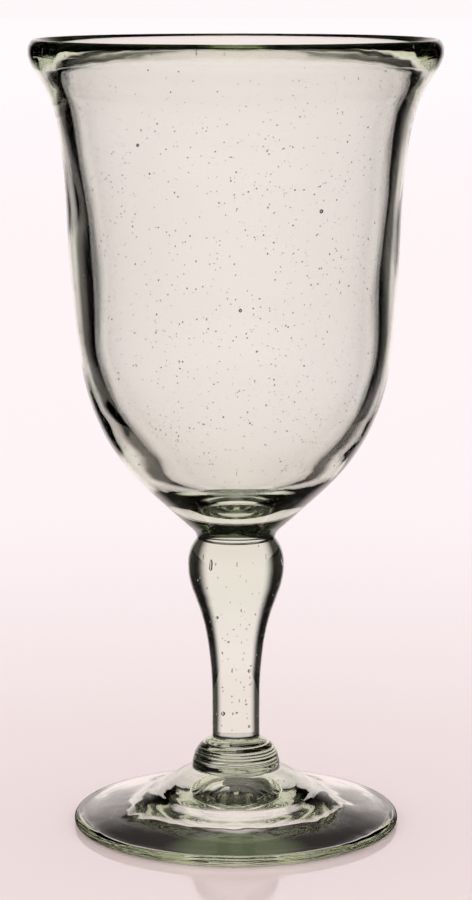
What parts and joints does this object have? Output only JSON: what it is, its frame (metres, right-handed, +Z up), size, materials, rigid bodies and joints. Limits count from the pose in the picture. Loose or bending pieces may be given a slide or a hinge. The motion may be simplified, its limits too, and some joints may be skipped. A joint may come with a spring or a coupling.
{
  "type": "water goblet",
  "caption": "Hand-blown clear glass water goblet: bell bowl with a thick flared lip, solid baluster stem, cushion knop and spread foot.",
  "frame": {"origin": "centre of the ring under the foot, on the surface that the goblet stands on", "axes": "+Z up along the axis of the stem and bowl, +X to the right and +Y away from the viewer"},
  "size_m": [0.095, 0.095, 0.184],
  "materials": {
    "seeded_glass": "clear soda-lime glass with a pale green tint in thick places, fire-polished gloss, scattered seed bubbles"
  },
  "bodies": {
    "root": {"bowl": "seeded_glass", "stem": "seeded_glass", "knop": "seeded_glass", "foot": "seeded_glass"}
  },
  "joints": []
}
